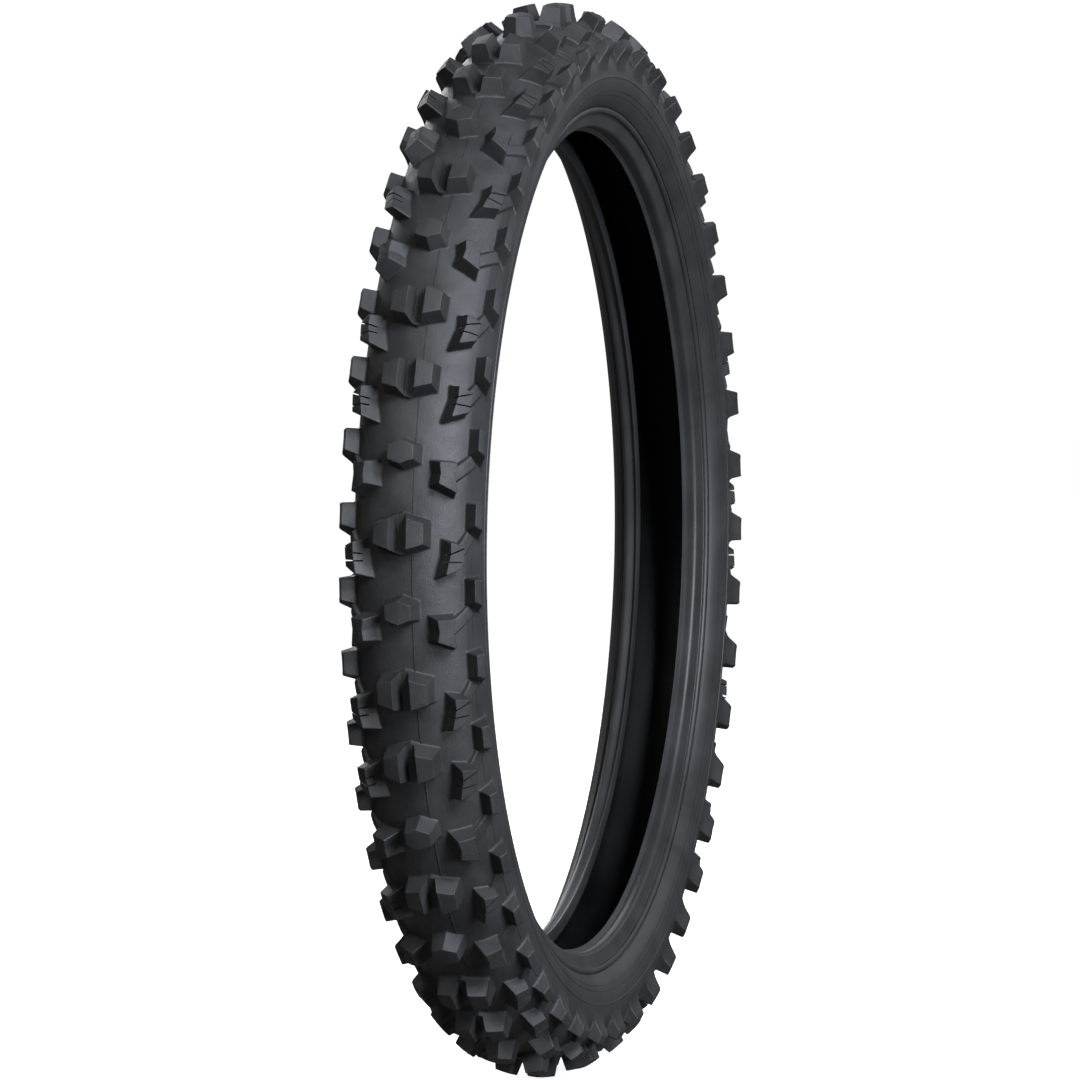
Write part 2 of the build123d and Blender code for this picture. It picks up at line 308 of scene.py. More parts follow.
def sidewall_section():
    """The left sidewall's rubber, from the tread edge to the toe of the bead."""
    headings = list(np.arange(TREAD_EDGE, LOWER_END, SIDE_SPACING)) + [LOWER_END]
    lifts = with_steps(headings, SIDE_STEPS)
    outside = [casing_point(heading, lifts[heading]) for heading in sorted(lifts)]
    heading, radius = SIDE_RIB
    outside = with_rib(outside, casing_point(heading), heading, radius)

    hollow_centre = casing_point(LOWER_END) + spoke(LOWER_END, FLANK_BLEND)
    headings = np.arange(LOWER_END - SIDE_SPACING / 2, FLANK_HEADING, -SIDE_SPACING)
    lifts = with_steps(headings, (RIM_GROOVE,))
    hollow = [hollow_centre - spoke(heading, FLANK_BLEND - lifts[heading])
              for heading in sorted(lifts, reverse=True)]
    heading, radius = RIM_RIB
    hollow = with_rib(hollow, hollow_centre - spoke(heading, FLANK_BLEND), heading, radius)

    walk = Walk(hollow_centre - spoke(FLANK_HEADING, FLANK_BLEND), FLANK_HEADING)
    heel_top = BEAD_SEAT_RADIUS + HEEL_RADIUS * (1 + cos(radians(FLANK_HEADING)))
    walk.line((walk.points[-1][0] - heel_top) / sin(radians(FLANK_HEADING)), 4)
    walk.arc(HEEL_RADIUS, 180, HEEL_STEP)
    lip = [np.array((BEAD_SEAT_RADIUS + rise, TOE_Y + over)) for rise, over in TOE_LIP]

    cover = 2 * PLY + CHAFER
    chafer = turned_up(Walk(ply_walk(cover).points[-1], PLY_BEAD_HEADING), cover, CHAFER_RISE)
    inside = [ply_walk(2 * PLY + LINER).points[-1]] + chafer.points
    for offset, rise in ((2 * PLY, CHAFER_RISE), (2 * PLY, INNER_TURN_UP),
                         (PLY, INNER_TURN_UP), (PLY, OUTER_TURN_UP), (0, OUTER_TURN_UP)):
        inside.append(turned_up(ply_walk(offset), offset, rise).points[-1])
    down = surface_walk(CASING_DEPTH, LOWER_END)
    down.arc(LOWER_RADIUS - CASING_DEPTH, PLY_LOWER_END)
    edge = surface_walk(CASING_DEPTH, TREAD_EDGE).points[-1]
    up = [point for point in down.points[::-1] if point[0] < edge[0] - 0.01] + [edge]
    return outside + hollow + walk.points + lip + inside + up


def liner_section():
    """The butyl film that faces the inner tube, from bead to bead."""
    back = ply_walk(2 * PLY).points
    face = ply_walk(2 * PLY + LINER).points
    whole_back = mirrored(back[::-1]) + back[1:]
    whole_face = mirrored(face[::-1]) + face[1:]
    return whole_back + whole_face[::-1]


def ring_pieces():
    """The tread band, both sidewalls and the liner, each in the place of its CAD node."""
    tread = revolved("tread_band", tread_section())
    stand_in(tread, "tread_rubber", "tread_base")
    left = revolved("sidewall_shell_left", sidewall_section())
    stand_in(left, "sidewall_rubber", "sidewall_left")
    right = revolved("sidewall_shell_right", mirrored(sidewall_section()))
    stand_in(right, "sidewall_rubber", "sidewall_right")
    liner = revolved("liner_film", liner_section(), LINER_SEGMENTS)
    stand_in(liner, "liner_rubber", "inner_liner")
    return {"tread": [tread], "side": [left, right], "liner": [liner]}


# ------------------------------------------------------------------ knob geometry
# A knob is shaped at +X in its row's frame: v runs outwards across the tread, u runs
# round the tyre and h stands on the crest. Its walls lean out by a draft on each side.
REACH = 28.0                  # deepest that any wall runs under the crest plane
OVERSHOOT = 4.0               # highest that a surface is looked for over the crest plane
HALVINGS = 36
CORNER_STEPS, EDGE_STEPS = 4, 4
HOLLOW_CORNER = 5             # an inward corner is this many times rounder
CROWN_RINGS = (0.3, 0.62, 0.9)     # rings on a knob's top, as shares of its outline
WALL_RINGS = (0.08, 0.5, 0.92)     # rings on its wall, as shares of the height
BROW_STEPS, FOOT_STEPS = 4, 6
FOOT_SHARE = 0.55             # a foot's fillet takes no more than this share of the wall
FOOT_SINK = 0.04              # the fillet's edge lies just under the casing surface
SKIRT, SKIRT_SINK = 0.5, 0.8  # the skirt past it, which closes the knob under the surface


def lifted(row, v, u, h):
    """The place at +X of a point in a row's frame, as (wheel radius, y, z)."""
    angle, lean = row
    foot = np.array((CREST_CENTRE, 0.0)) + spoke(angle, CREST_RADIUS)
    out, across = spoke(lean), spoke(lean + 90)
    return (foot[0] + v * across[0] + h * out[0], foot[1] + v * across[1] + h * out[1], u)


def meets(row, spots, drifts, surface):
    """How deep under the crest plane each wall line passes through a surface."""
    low, high = np.full(len(spots), -OVERSHOOT), np.full(len(spots), REACH)
    for _ in range(HALVINGS):
        middle = (low + high) / 2
        at = spots + drifts * middle[:, None]
        x, y, z = lifted(row, at[:, 0], at[:, 1], -middle)
        outside = surface(x, y, z) > 0
        low, high = np.where(outside, middle, low), np.where(outside, high, middle)
    return (low + high) / 2


def rounded(outline, drafts, sizes, corner):
    """Points round an outline, how each drifts with depth, how it faces, and its sizes.

    Each edge has its own draft and sizes, and they blend round the corners."""
    outline = np.array(outline, float)
    runs = np.roll(outline, -1, 0) - outline
    faces = np.stack([runs[:, 1], -runs[:, 0]], 1) / np.hypot(runs[:, 0], runs[:, 1])[:, None]
    slopes = np.tan(np.radians(drafts))
    rows = []
    for i, point in enumerate(outline):
        before, after = faces[i - 1], faces[i]
        both = np.array((before, after))
        drift = np.linalg.solve(both, (slopes[i - 1], slopes[i]))
        inset = np.linalg.solve(both, (1.0, 1.0))
        turn = atan2(before[0] * after[1] - before[1] * after[0], before @ after)
        size = corner if turn > 0 else -HOLLOW_CORNER * corner
        for k in range(CORNER_STEPS + 1):
            share = k / CORNER_STEPS
            turned = turn * share
            facing = np.array((before[0] * cos(turned) - before[1] * sin(turned),
                               before[0] * sin(turned) + before[1] * cos(turned)))
            place = point - size * inset + size * facing
            blend = sizes[i - 1] * (1 - share) + sizes[i] * share
            rows.append((*place, *drift, *facing, *blend))
    rows = np.array(rows)
    whole = []
    for k, here in enumerate(rows):
        whole.append(here)
        if k % (CORNER_STEPS + 1) == CORNER_STEPS:
            after = rows[(k + 1) % len(rows)]
            whole += [here + (after - here) * step / EDGE_STEPS for step in range(1, EDGE_STEPS)]
    whole = np.array(whole)
    return whole[:, 0:2], whole[:, 2:4], whole[:, 4:6], whole[:, 6], whole[:, 7]


def bend(first, middle, last, steps):
    """Rings along a curve that leaves the first ring and lands on the last."""
    shares = [k / steps for k in range(steps + 1)]
    return [first * (1 - t) ** 2 + middle * 2 * t * (1 - t) + last * t ** 2 for t in shares]


def knob(row, outline, drafts, feet, brows=0.45, top=crest_distance, corner=0.8):
    """A closed knob in its row's frame, as (points, faces), with its top on a surface.

    drafts are its walls' slopes in degrees, feet its fillets and brows its top edges'
    roundings, each one value or one for each edge."""
    each = np.ones(len(outline))
    sizes = np.column_stack([each * feet, each * brows])
    places, drifts, facings, flares, edge = rounded(outline, each * drafts, sizes, corner)
    high = meets(row, places, np.zeros_like(places), top)
    places = places - drifts * high[:, None]
    low = meets(row, places, drifts, casing_distance)

    def wall(depth):
        return np.column_stack([places + drifts * depth[:, None], -depth])

    def laid(spots, surface, sink=0.0):
        depth = meets(row, spots, np.zeros_like(spots), surface)
        return np.column_stack([spots, -depth - sink])

    rise = np.minimum(flares, FOOT_SHARE * (low - high))
    tip = wall(high)
    brow = laid(tip[:, :2] - edge[:, None] * facings, top)
    centre = brow[:, :2].mean(0)
    rings = [laid(centre + (brow[:, :2] - centre) * scale, top) for scale in CROWN_RINGS]
    rings += bend(brow, tip, wall(high + edge), BROW_STEPS)
    span = low - rise - high - edge
    rings += [wall(high + edge + span * share) for share in WALL_RINGS]
    foot = wall(low)
    spread = laid(foot[:, :2] + flares[:, None] * facings, casing_distance, FOOT_SINK)
    rings += bend(wall(low - rise), foot, spread, FOOT_STEPS)
    rings.append(laid(spread[:, :2] + SKIRT * facings, casing_distance, SKIRT_SINK))
    count = len(places)
    points = np.vstack(rings)
    crown = laid(centre[None, :], top)
    floor = rings[-1].mean(0)[None, :]
    points = np.vstack([points, crown, floor])
    faces = []
    for level in range(len(rings) - 1):
        for i in range(count):
            j = (i + 1) % count
            upper, lower = level * count, (level + 1) * count
            faces.append((upper + i, lower + i, lower + j, upper + j))
    last = (len(rings) - 1) * count
    for i in range(count):
        j = (i + 1) % count
        faces.append((len(points) - 2, i, j))
        faces.append((len(points) - 1, last + j, last + i))
    return points, faces


def block(profile, start, end):
    """A bar of an (across, h) profile that runs from one (v, u) point to another."""
    start, end = np.array(start, float), np.array(end, float)
    run = (end - start) / np.hypot(*(end - start))
    across = np.array((run[1], -run[0]))
    count = len(profile)
    points = [(*(spot + across * w), h) for spot in (start, end) for w, h in profile]
    faces = [(i, count + i, count + (i + 1) % count, (i + 1) % count) for i in range(count)]
    faces += [tuple(range(count)), tuple(range(count, 2 * count))[::-1]]
    return np.array(points), faces


def loose_mesh(shape):
    """A short-lived object for cutting, still in millimetres."""
    points, faces = shape
    mesh = bpy.data.meshes.new("shape")
    mesh.from_pydata(np.asarray(points).tolist(), [], faces)
    mesh.update()
    piece = bpy.data.objects.new("shape", mesh)
    bpy.context.scene.collection.objects.link(piece)
    return piece


def carved(shape, cutters):
    """A closed shape with other closed shapes cut out of it."""
    body = loose_mesh(shape)
    tools = [loose_mesh(cutter) for cutter in cutters]
    for tool in tools:
        cut = body.modifiers.new("cut", "BOOLEAN")
        cut.operation = "DIFFERENCE"
        cut.solver = "EXACT"
        cut.object = tool
    depsgraph = bpy.context.evaluated_depsgraph_get()
    mesh = bpy.data.meshes.new_from_object(body.evaluated_get(depsgraph))
    points = np.array([vert.co for vert in mesh.vertices])
    faces = [tuple(polygon.vertices) for polygon in mesh.polygons]
    for piece in [body] + tools:
        bpy.data.objects.remove(piece)
    return points, faces


def joined(shapes):
    """Several shapes as one list of points and one list of faces."""
    points, faces, count = [], [], 0
    for some_points, some_faces in shapes:
        points.append(np.asarray(some_points))
        faces += [tuple(count + index for index in face) for face in some_faces]
        count += len(some_points)
    return np.vstack(points), faces


def standing(row, shape):
    """A shape moved from its row's frame to its place at +X."""
    points, faces = shape
    return np.column_stack(lifted(row, *points.T)), faces


def around(shape, angles):
    """Copies of a shape at +X, turned to angles below the -X direction."""
    points, faces = shape
    copies = []
    for angle in angles:
        turn = radians(180 - angle)
        x, y, z = points.T
        turned = (x * cos(turn) + z * sin(turn), y, z * cos(turn) - x * sin(turn))
        copies.append((np.column_stack(turned), faces))
    return joined(copies)


def other_side(shape):
    """The mirror image of a shape, with its faces still turned outwards."""
    points, faces = shape
    return points * (1, -1, 1), [face[::-1] for face in faces]


def repeated(offsets):
    """Each angle of the pattern in every repeat round the wheel."""
    return [k * REPEAT_ANGLE + offset for k in range(REPEATS) for offset in offsets]


# ------------------------------------------------------------------ the knobs
CENTRE_ROW = (0.0, 0.0)       # angle round the crest arc, and lean of the knob's axis
SOLID_ROW = (34.8, 35.0)
SIPED_ROW = (42.5, 41.0)
SHOULDER_ROW = (61.0, 52.0)
TIE_BAR_ROW = (49.0, 49.0)
# Outlines on the crest plane as (v, u), and the wall drafts in degrees, edge by edge.
SPLIT_OUTLINE = ((0, -11), (15.6, -6.2), (15.6, 6.2), (0, 11), (-15.6, 6.2), (-15.6, -6.2))
HEX_OUTLINE = ((0, -7.4), (8.1, -4.3), (8.1, 4.3), (0, 7.4), (-8.1, 4.3), (-8.1, -4.3))
SIPED_OUTLINE = ((-3.9, -9.4), (6.1, -6.4), (4.3, 5.8), (-7.0, 10.5), (-3.9, -2.4))
SOLID_OUTLINE = ((-5.9, -8.8), (5.6, -8.8), (4.3, -1.6), (6.0, 9.3), (-5.9, 4.3), (-4.9, -1.9))
SHOULDER_OUTLINE = ((-3.2, -7.5), (3.5, -7.3), (3.5, 8.4), (-3.2, 5.8))
SPLIT_DRAFTS = (8.5, 3.5, 8.5, 8.5, 3.5, 8.5)
HEX_DRAFT, CENTRE_FOOT = 8.5, 1.3
INNER_DRAFT, INNER_FOOT = 8.0, 1.2     # the siped and the solid knobs
SHOULDER_DRAFTS = (3.0, 20.0, 17.0, 8.0)
SHOULDER_FEET = (1.8, 8.0, 1.5, 1.2)
SHOULDER_BROWS = (0.8, 2.2, 1.1, 0.45)
GROOVE_HALF = ((2.2, -10.0), (2.6, -9.85), (2.83, -9.4), (5.3, -0.7), (7.0, 1.2))
GROOVE_REACH = 25             # the groove's cutter runs past both ends of the knob
SIPE_WIDTH = 0.9
SIPE_DEPTH = 6.0
SIPE_OVER = 4                 # the sipe's cutter stands this far over the crest plane
SIPES = (((-5.5, -1.8), (7.5, -6.5)), ((-7.5, 2.3), (6.5, 2.3)))
VENT_SIDES, VENT_RADIUS, VENT_HEIGHT = 10, 0.42, 0.3
VENT_RINGS = ((1.15, -0.2), (1.0, VENT_HEIGHT * 0.7), (0.75, VENT_HEIGHT))   # width, lift
VENT_SPOTS = ((0.0, -6.6), (3.0, -2.6), (-2.6, 0.2), (1.8, 2.4), (2.6, 6.6))
TIE_BAR_HEIGHT = 2.6
TIE_BAR_WIDTH = 7.0
TIE_BAR_START = (2.7, 2.2)    # its (v, u) start, from the middle of its knob
TIE_BAR_END = (9.0, 12.0)     # its (v, u) end, with u from the shoulder knob's middle
TIE_BAR_DRAFT, TIE_BAR_FOOT, TIE_BAR_BROW = 20.0, 1.0, 0.8
BAR_CLIMB_ANGLE = 4.0         # about how far above its knob that shoulder knob stands


def vent_nub(row, spot):
    """The short stub of rubber left by a vent hole of the mould."""
    sides = VENT_SIDES
    angles = np.arange(sides) * 2 * pi / sides
    circle = np.column_stack([np.cos(angles), np.sin(angles)])
    depth = meets(row, np.array([spot]), np.zeros((1, 2)), crest_distance)[0]
    rings = []
    for scale, lift in VENT_RINGS:
        flat = np.array(spot) + circle * VENT_RADIUS * scale
        rings.append(np.column_stack([flat, np.full(sides, lift - depth)]))
    points = np.vstack(rings)
    faces = [tuple(range(sides))[::-1], tuple(range(2 * sides, 3 * sides))]
    for level in range(2):
        for i in range(sides):
            j = (i + 1) % sides
            low, high = level * sides, (level + 1) * sides
            faces.append((low + i, low + j, high + j, high + i))
    return points, faces


def split_knob():
    """The wide centre knob, with a groove round the wheel through its middle."""
    whole = knob(CENTRE_ROW, SPLIT_OUTLINE, SPLIT_DRAFTS, CENTRE_FOOT)
    profile = list(GROOVE_HALF) + [(-half, h) for half, h in GROOVE_HALF[::-1]]
    groove = block(profile, (0, -GROOVE_REACH), (0, GROOVE_REACH))
    return standing(CENTRE_ROW, carved(whole, [groove]))


def hex_knob():
    """The small centre knob."""
    return standing(CENTRE_ROW, knob(CENTRE_ROW, HEX_OUTLINE, HEX_DRAFT, CENTRE_FOOT))


def siped_knob():
    """The intermediate knob with two narrow cuts."""
    whole = knob(SIPED_ROW, SIPED_OUTLINE, INNER_DRAFT, INNER_FOOT)
    half = SIPE_WIDTH / 2
    profile = [(half, -SIPE_DEPTH), (half, SIPE_OVER), (-half, SIPE_OVER), (-half, -SIPE_DEPTH)]
    return standing(SIPED_ROW, carved(whole, [block(profile, *ends) for ends in SIPES]))


def solid_knob():
    """The intermediate knob without cuts, with vent nubs on its top."""
    whole = knob(SOLID_ROW, SOLID_OUTLINE, INNER_DRAFT, INNER_FOOT)
    nubs = [vent_nub(SOLID_ROW, spot) for spot in VENT_SPOTS]
    return standing(SOLID_ROW, joined([whole] + nubs))


def shoulder_knob():
    """The outermost knob, whose outer wall runs down into the sidewall."""
    shape = knob(SHOULDER_ROW, SHOULDER_OUTLINE, SHOULDER_DRAFTS, SHOULDER_FEET, SHOULDER_BROWS)
    return standing(SHOULDER_ROW, shape)


def tie_bar(row, climb):
    """The low bar from a row's knob to the shoulder knob that stands above it."""
    crest = CREST_CENTRE + spoke(TIE_BAR_ROW[0], CREST_RADIUS)[0]
    start = np.array(TIE_BAR_START) + (CREST_RADIUS * radians(row[0] - TIE_BAR_ROW[0]), 0.0)
    end = np.array(TIE_BAR_END) + (0.0, crest * radians(climb))
    run = (end - start) / np.hypot(*(end - start))
    across = np.array((run[1], -run[0])) * TIE_BAR_WIDTH / 2
    outline = (start + across, end + across, end - across, start - across)
    shape = knob(TIE_BAR_ROW, outline, TIE_BAR_DRAFT, TIE_BAR_FOOT, TIE_BAR_BROW,
                 top=lambda x, y, z: casing_distance(x, y, z) - TIE_BAR_HEIGHT)
    return standing(TIE_BAR_ROW, shape)


def knob_pieces():
    """Every row of knobs, each in the place of its CAD node."""
    rows = {
        "centre_split_knob_row": (split_knob(), SPLIT_AT, "centre_split_knobs"),
        "centre_hex_knob_row": (hex_knob(), HEX_AT, "centre_hex_knobs"),
        "siped_knob_row": (siped_knob(), SIPED_AT, "intermediate_siped_knobs"),
        "solid_knob_row": (solid_knob(), SOLID_AT, "intermediate_solid_knobs"),
        "shoulder_knob_row": (shoulder_knob(), SHOULDER_AT, "shoulder_knobs"),
    }
    shapes = {}
    for name, (shape, offsets, node) in rows.items():
        shapes[name] = (around(shape, repeated(offsets)), node)
    barred = [(angle, SIPED_ROW) for angle in SIPED_AT] + [(angle, SOLID_ROW) for angle in SOLID_AT]
    bars = []
    for angle, row in barred:
        above = min(SHOULDER_AT, key=lambda place: abs(angle - BAR_CLIMB_ANGLE - place))
        bars.append(around(tie_bar(row, above - angle), repeated([angle])))
    shapes["tie_bar_row"] = (joined(bars), "tie_bars")
    pieces = []
    for name, (shape, node) in shapes.items():
        if name.startswith("centre"):
            pieces.append(stand_in(new_piece(name, *shape), "tread_rubber", node))
            continue
        for side, sided in (("left", shape), ("right", other_side(shape))):
            piece = new_piece(f"{name}_{side}", *sided)
            pieces.append(stand_in(piece, "tread_rubber", f"{node}_{side}"))
    for piece in pieces:
        even = piece.modifiers.new("even_shading", "WEIGHTED_NORMAL")
        even.keep_sharp = True
    return pieces


# ------------------------------------------------------------------ materials
class Nodes:
    """Small helpers round one material's node tree."""

    def __init__(self, name):
        self.material = bpy.data.materials.new(name)
        self.material.use_nodes = True
        self.tree = self.material.node_tree
        self.shader = self.tree.nodes["Principled BSDF"]
        self.place = self.node("ShaderNodeTexCoord").outputs["Object"]

    def node(self, kind, **settings):
        made = self.tree.nodes.new(kind)
        for key, value in settings.items():
            setattr(made, key, value)
        return made

    def link(self, source, target):
        self.tree.links.new(source, target)

    def noise(self, scale, detail=4.0, rough=0.55):
        made = self.node("ShaderNodeTexNoise")
        made.inputs["Scale"].default_value = scale
        made.inputs["Detail"].default_value = detail
        made.inputs["Roughness"].default_value = rough
        self.link(self.place, made.inputs["Vector"])
        return made.outputs["Fac"]

    def cells(self, scale):
        made = self.node("ShaderNodeTexVoronoi", feature="F1")
        made.inputs["Scale"].default_value = scale
        self.link(self.place, made.inputs["Vector"])
        return made.outputs["Distance"]

    def span(self, value, low, high):
        """The middle of a noise's range stretched to run from low to high."""
        made = self.node("ShaderNodeMapRange")
        made.inputs["From Min"].default_value = 0.3
        made.inputs["From Max"].default_value = 0.7
        made.inputs["To Min"].default_value = low
        made.inputs["To Max"].default_value = high
        self.link(value, made.inputs["Value"])
        return made.outputs["Result"]

    def ramp(self, value, *stops):
        made = self.node("ShaderNodeValToRGB")
        ramp = made.color_ramp
        while len(ramp.elements) < len(stops):
            ramp.elements.new(0.5)
        for element, (position, colour) in zip(ramp.elements, stops):
            element.position = position
            element.color = (*colour, 1.0)
        self.link(value, made.inputs["Fac"])
        return made.outputs["Color"]

    def sum(self, first, second, weight):
        made = self.node("ShaderNodeMath", operation="MULTIPLY_ADD")
        self.link(second, made.inputs[0])
        made.inputs[1].default_value = weight
        self.link(first, made.inputs[2])
        return made.outputs["Value"]

    def bump(self, height, strength, distance):
        made = self.node("ShaderNodeBump")
        made.inputs["Strength"].default_value = strength
        made.inputs["Distance"].default_value = distance
        self.link(height, made.inputs["Height"])
        self.link(made.outputs["Normal"], self.shader.inputs["Normal"])


PLAIN_GLOSS = 0.35
GRAIN_DEPTH = 0.0003          # metres


def moulded_rubber(name, dark, light, roughness, grain, gloss=PLAIN_GLOSS):
    """Carbon black rubber: cloudy bloom on the surface, and a fine grain from the mould."""
    nodes = Nodes(name)
    cloud = nodes.noise(38.0, 5.0)
    fine = nodes.noise(900.0, 3.0)
    mixed = nodes.sum(cloud, fine, 0.25)
    between = tuple((a + b) / 2 for a, b in zip(dark, light))
    colour = nodes.ramp(mixed, (0.42, dark), (0.62, between), (0.85, light))
    nodes.link(colour, nodes.shader.inputs["Base Color"])
    nodes.link(nodes.span(nodes.noise(70.0, 6.0), *roughness), nodes.shader.inputs["Roughness"])
    nodes.shader.inputs["Specular IOR Level"].default_value = gloss
    pits = nodes.sum(nodes.noise(2600.0, 2.0), nodes.cells(1500.0), 0.5)
    height = nodes.sum(pits, nodes.noise(160.0, 4.0), 1.4)
    nodes.bump(height, grain, GRAIN_DEPTH)
    return nodes.material


def wound_rubber(name, dark, light, roughness, gloss):
    """Bead and liner rubber: smoother, with faint lines that run round the wheel."""
    nodes = Nodes(name)
    split = nodes.node("ShaderNodeSeparateXYZ")
    nodes.link(nodes.place, split.inputs["Vector"])
    square = nodes.node("ShaderNodeCombineXYZ")
    nodes.link(split.outputs["X"], square.inputs["X"])
    nodes.link(split.outputs["Z"], square.inputs["Y"])
    length = nodes.node("ShaderNodeVectorMath", operation="LENGTH")
    nodes.link(square.outputs["Vector"], length.inputs[0])
    around_wheel = nodes.node("ShaderNodeCombineXYZ")
    nodes.link(length.outputs["Value"], around_wheel.inputs["X"])
    nodes.link(split.outputs["Y"], around_wheel.inputs["Y"])
    lines = nodes.node("ShaderNodeTexNoise")
    lines.inputs["Scale"].default_value = 900.0
    lines.inputs["Detail"].default_value = 3.0
    nodes.link(around_wheel.outputs["Vector"], lines.inputs["Vector"])
    cloud = nodes.noise(30.0, 5.0)
    mixed = nodes.sum(cloud, lines.outputs["Fac"], 0.2)
    nodes.link(nodes.ramp(mixed, (0.45, dark), (0.8, light)), nodes.shader.inputs["Base Color"])
    nodes.link(nodes.span(cloud, *roughness), nodes.shader.inputs["Roughness"])
    nodes.shader.inputs["Specular IOR Level"].default_value = gloss
    height = nodes.sum(lines.outputs["Fac"], nodes.noise(1800.0, 2.0), 0.5)
    nodes.bump(height, 0.35, GRAIN_DEPTH)
    return nodes.material


def cord_ply():
    """Rubberised nylon cloth: close parallel cords laid on the bias."""
    nodes = Nodes("nylon_ply_cloth")
    wave = nodes.node("ShaderNodeTexWave", bands_direction="DIAGONAL")
    wave.inputs["Scale"].default_value = 260.0
    wave.inputs["Distortion"].default_value = 0.6
    nodes.link(nodes.place, wave.inputs["Vector"])
    colour = nodes.ramp(wave.outputs["Fac"], (0.2, (0.02, 0.018, 0.015)), (0.8, (0.16, 0.13, 0.09)))
    nodes.link(colour, nodes.shader.inputs["Base Color"])
    nodes.link(nodes.span(nodes.noise(200.0), 0.55, 0.8), nodes.shader.inputs["Roughness"])
    nodes.bump(wave.outputs["Fac"], 0.6, 0.0004)
    return nodes.material


def bead_steel():
    """Bronze plated high tensile wire."""
    nodes = Nodes("bronze_plated_wire")
    colour = nodes.ramp(nodes.noise(120.0), (0.35, (0.36, 0.22, 0.11)), (0.7, (0.56, 0.4, 0.24)))
    nodes.link(colour, nodes.shader.inputs["Base Color"])
    nodes.shader.inputs["Metallic"].default_value = 1.0
    nodes.link(nodes.span(nodes.noise(400.0), 0.25, 0.45), nodes.shader.inputs["Roughness"])
    nodes.bump(nodes.noise(1400.0), 0.2, 0.0002)
    return nodes.material


def dress(pieces, material):
    """Gives pieces one material in place of what they had."""
    for piece in pieces:
        piece.data.materials.clear()
        piece.data.materials.append(material)


def dress_all(rings, knobs):
    """Materials for the new meshes, and for the CAD nodes that show as they are."""
    tread = moulded_rubber("tread_rubber_matte", (0.010, 0.0102, 0.0108), (0.026, 0.026, 0.027),
                           (0.50, 0.68), 0.55, 0.4)
    base = moulded_rubber("tread_base_rubber", (0.010, 0.0102, 0.011), (0.030, 0.030, 0.032),
                          (0.46, 0.62), 0.6, 0.42)
    side = wound_rubber("sidewall_rubber_satin", (0.0165, 0.0168, 0.0178), (0.027, 0.027, 0.0295),
                        (0.44, 0.51), 0.42)
    # Painted shade: the liner's colour is far darker than the rest of the rubber so the inside of the
    # tyre reads nearly black; only part of that darkness is the butyl's own dark tone.
    liner = wound_rubber("liner_rubber_dark_and_painted_shade", (0.002, 0.002, 0.0023), (0.006, 0.006, 0.0066),
                         (0.42, 0.56), 0.18)
    filler = moulded_rubber("hard_filler_rubber", (0.012, 0.011, 0.010), (0.03, 0.028, 0.026),
                            (0.6, 0.8), 0.5)
    dress(knobs, tread)
    dress(rings["tread"], base)
    dress(rings["side"], side)
    dress(rings["liner"], liner)
    cloth, steel = cord_ply(), bead_steel()
    nodes = frame["nodes"]
    for name in ("casing_ply_inner", "casing_ply_outer", "breaker_ply"):
        dress([nodes[name]], cloth)
    for side_name in ("left", "right"):
        dress([nodes[f"chafer_strip_{side_name}"]], cloth)
        dress([nodes[f"bead_wires_{side_name}"]], steel)
        dress([nodes[f"bead_core_wrap_{side_name}"]], filler)
        dress([nodes[f"bead_filler_{side_name}"]], filler)


# ------------------------------------------------------------------ studio
VIEW_TURN = 15.76             # degrees that the camera stands round from -X towards -Y
VIEW_RISE = 2.95
VIEW_DISTANCE = 3.81
VIEW_LENS = 196.63
VIEW_OFFSET = 0.0101          # the tyre stands this far right of the picture's middle
SET_GLOW = 0.9                # the floor and the backdrop are nearly white by themselves
FLOOR_HALF = 12.0
DOME_ROWS, DOME_COLUMNS, DOME_RADIUS = 12, 24, 14.0
DOME_FOOT, DOME_SWEEP = -20, 110      # degrees that it starts under level, and then rises
AIR_COLOUR, AIR_STRENGTH = (1.0, 0.97, 0.94, 1.0), 0.13
# Each light's turn, rise, distance, size, power and colour.
LIGHTS = {
    "key_right": (44.0, 30.0, 2.8, 1.0, 128.0, (0.84, 0.91, 1.0)),
    "low_right": (50.0, 4.0, 2.8, 0.8, 60.0, (0.86, 0.92, 1.0)),
    "front": (-6.0, 30.0, 3.6, 1.4, 19.0, (1.0, 0.95, 0.9)),
    "back_left": (-142.0, 28.0, 3.2, 1.6, 45.0, (0.95, 0.97, 1.0)),
    "back_right": (152.0, 28.0, 3.2, 1.6, 8.0, (0.95, 0.97, 1.0)),
}


def towards(turn, rise):
    """The direction from the wheel centre, turned from -X towards -Y and raised."""
    flat = cos(radians(rise))
    return Vector((-cos(radians(turn)) * flat, -sin(radians(turn)) * flat, sin(radians(rise))))


def look(thing, target):
    """Turns a camera or a light to face a target."""
    aim = target - thing.location
    thing.rotation_euler = aim.to_track_quat("-Z", "Y").to_euler()


def make_camera():
    """The one camera, at the fitted view."""
    data = bpy.data.cameras.new("camera")
    data.lens = VIEW_LENS
    data.sensor_width = 36.0
    data.clip_end = 100.0
    camera = bpy.data.objects.new("camera", data)
    bpy.context.scene.collection.objects.link(camera)
    camera.location = towards(VIEW_TURN, VIEW_RISE) * VIEW_DISTANCE
    left = Vector((-sin(radians(VIEW_TURN)), cos(radians(VIEW_TURN)), 0.0))
    look(camera, left * VIEW_OFFSET)
    bpy.context.scene.camera = camera


def soft_light(name, turn, rise, distance, size, power, colour):
    """A round area light that faces the wheel centre and isn't seen itself."""
    data = bpy.data.lights.new(name, "AREA")
    data.shape = "DISK"
    data.size = size
    data.energy = power
    data.color = colour
    light = bpy.data.objects.new(name, data)
    bpy.context.scene.collection.objects.link(light)
    light.location = towards(turn, rise) * distance
    look(light, Vector((0.0, 0.0, 0.0)))
    light.visible_camera = False


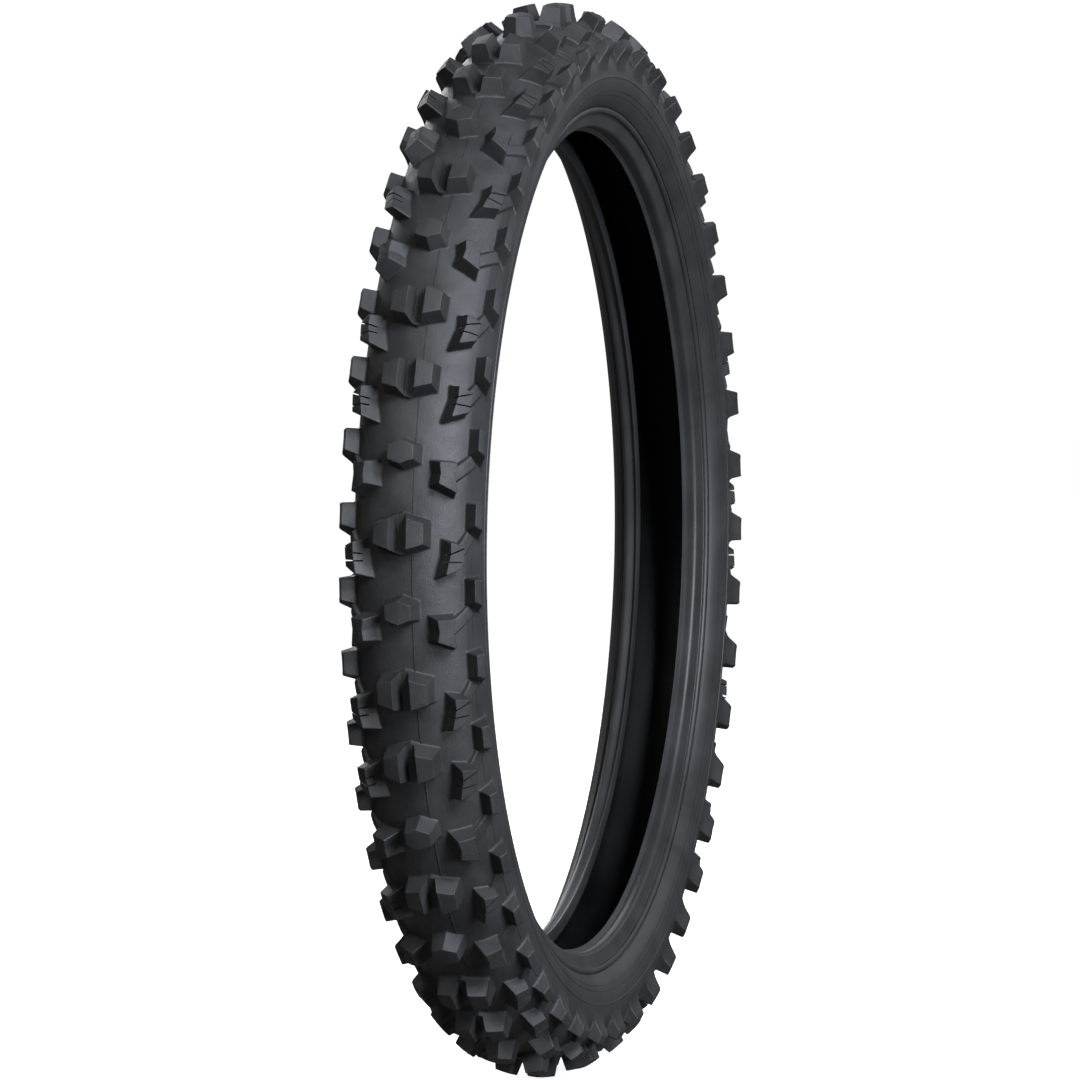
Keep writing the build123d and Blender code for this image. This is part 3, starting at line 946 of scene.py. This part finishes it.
def pale_surface(name, verts, faces):
    """A pale part of the set that is seen, but doesn't light or mirror in the tyre."""
    mesh = bpy.data.meshes.new(name)
    mesh.from_pydata(verts, [], faces)
    piece = bpy.data.objects.new(name, mesh)
    bpy.context.scene.collection.objects.link(piece)
    nodes = Nodes(name)
    colour = nodes.ramp(nodes.noise(2.0), (0.4, (0.79, 0.79, 0.79)), (0.6, (0.8, 0.8, 0.8)))
    nodes.link(colour, nodes.shader.inputs["Base Color"])
    nodes.shader.inputs["Roughness"].default_value = 0.9
    nodes.shader.inputs["Specular IOR Level"].default_value = 0.0
    nodes.shader.inputs["Emission Color"].default_value = (1.0, 1.0, 1.0, 1.0)
    nodes.shader.inputs["Emission Strength"].default_value = SET_GLOW
    piece.data.materials.append(nodes.material)
    piece.visible_diffuse = False
    piece.visible_glossy = False
    return piece


def make_set():
    """A pale floor that the tyre stands on, and a pale dome far behind it."""
    floor_z = cad_box[0][2]
    corners = [(x * FLOOR_HALF, y * FLOOR_HALF, floor_z) for x, y in ((-1, -1), (1, -1), (1, 1), (-1, 1))]
    pale_surface("floor", corners, [(0, 1, 2, 3)])
    verts = []
    for row in range(DOME_ROWS + 1):
        rise = radians(DOME_FOOT + DOME_SWEEP * row / DOME_ROWS)
        flat, height = DOME_RADIUS * cos(rise), DOME_RADIUS * sin(rise)
        for column in range(DOME_COLUMNS):
            turn = 2 * pi * column / DOME_COLUMNS
            verts.append((flat * cos(turn), flat * sin(turn), height))
    faces = []
    for row in range(DOME_ROWS):
        low, high = row * DOME_COLUMNS, (row + 1) * DOME_COLUMNS
        for column in range(DOME_COLUMNS):
            after = (column + 1) % DOME_COLUMNS
            faces.append((low + column, high + column, high + after, low + after))
    dome = pale_surface("backdrop", verts, faces)
    dome.visible_shadow = False


def make_studio():
    """The view transform, the faint light from all round and the area lights."""
    scene = bpy.context.scene
    scene.view_settings.view_transform = "Standard"
    world = bpy.data.worlds.new("studio")
    world.use_nodes = True
    air = world.node_tree.nodes["Background"]
    air.inputs["Color"].default_value = AIR_COLOUR
    air.inputs["Strength"].default_value = AIR_STRENGTH
    scene.world = world
    for name, settings in LIGHTS.items():
        soft_light(name, *settings)


make_camera()
make_studio()
make_set()
ring_parts = ring_pieces()
knob_parts = knob_pieces()
dress_all(ring_parts, knob_parts)
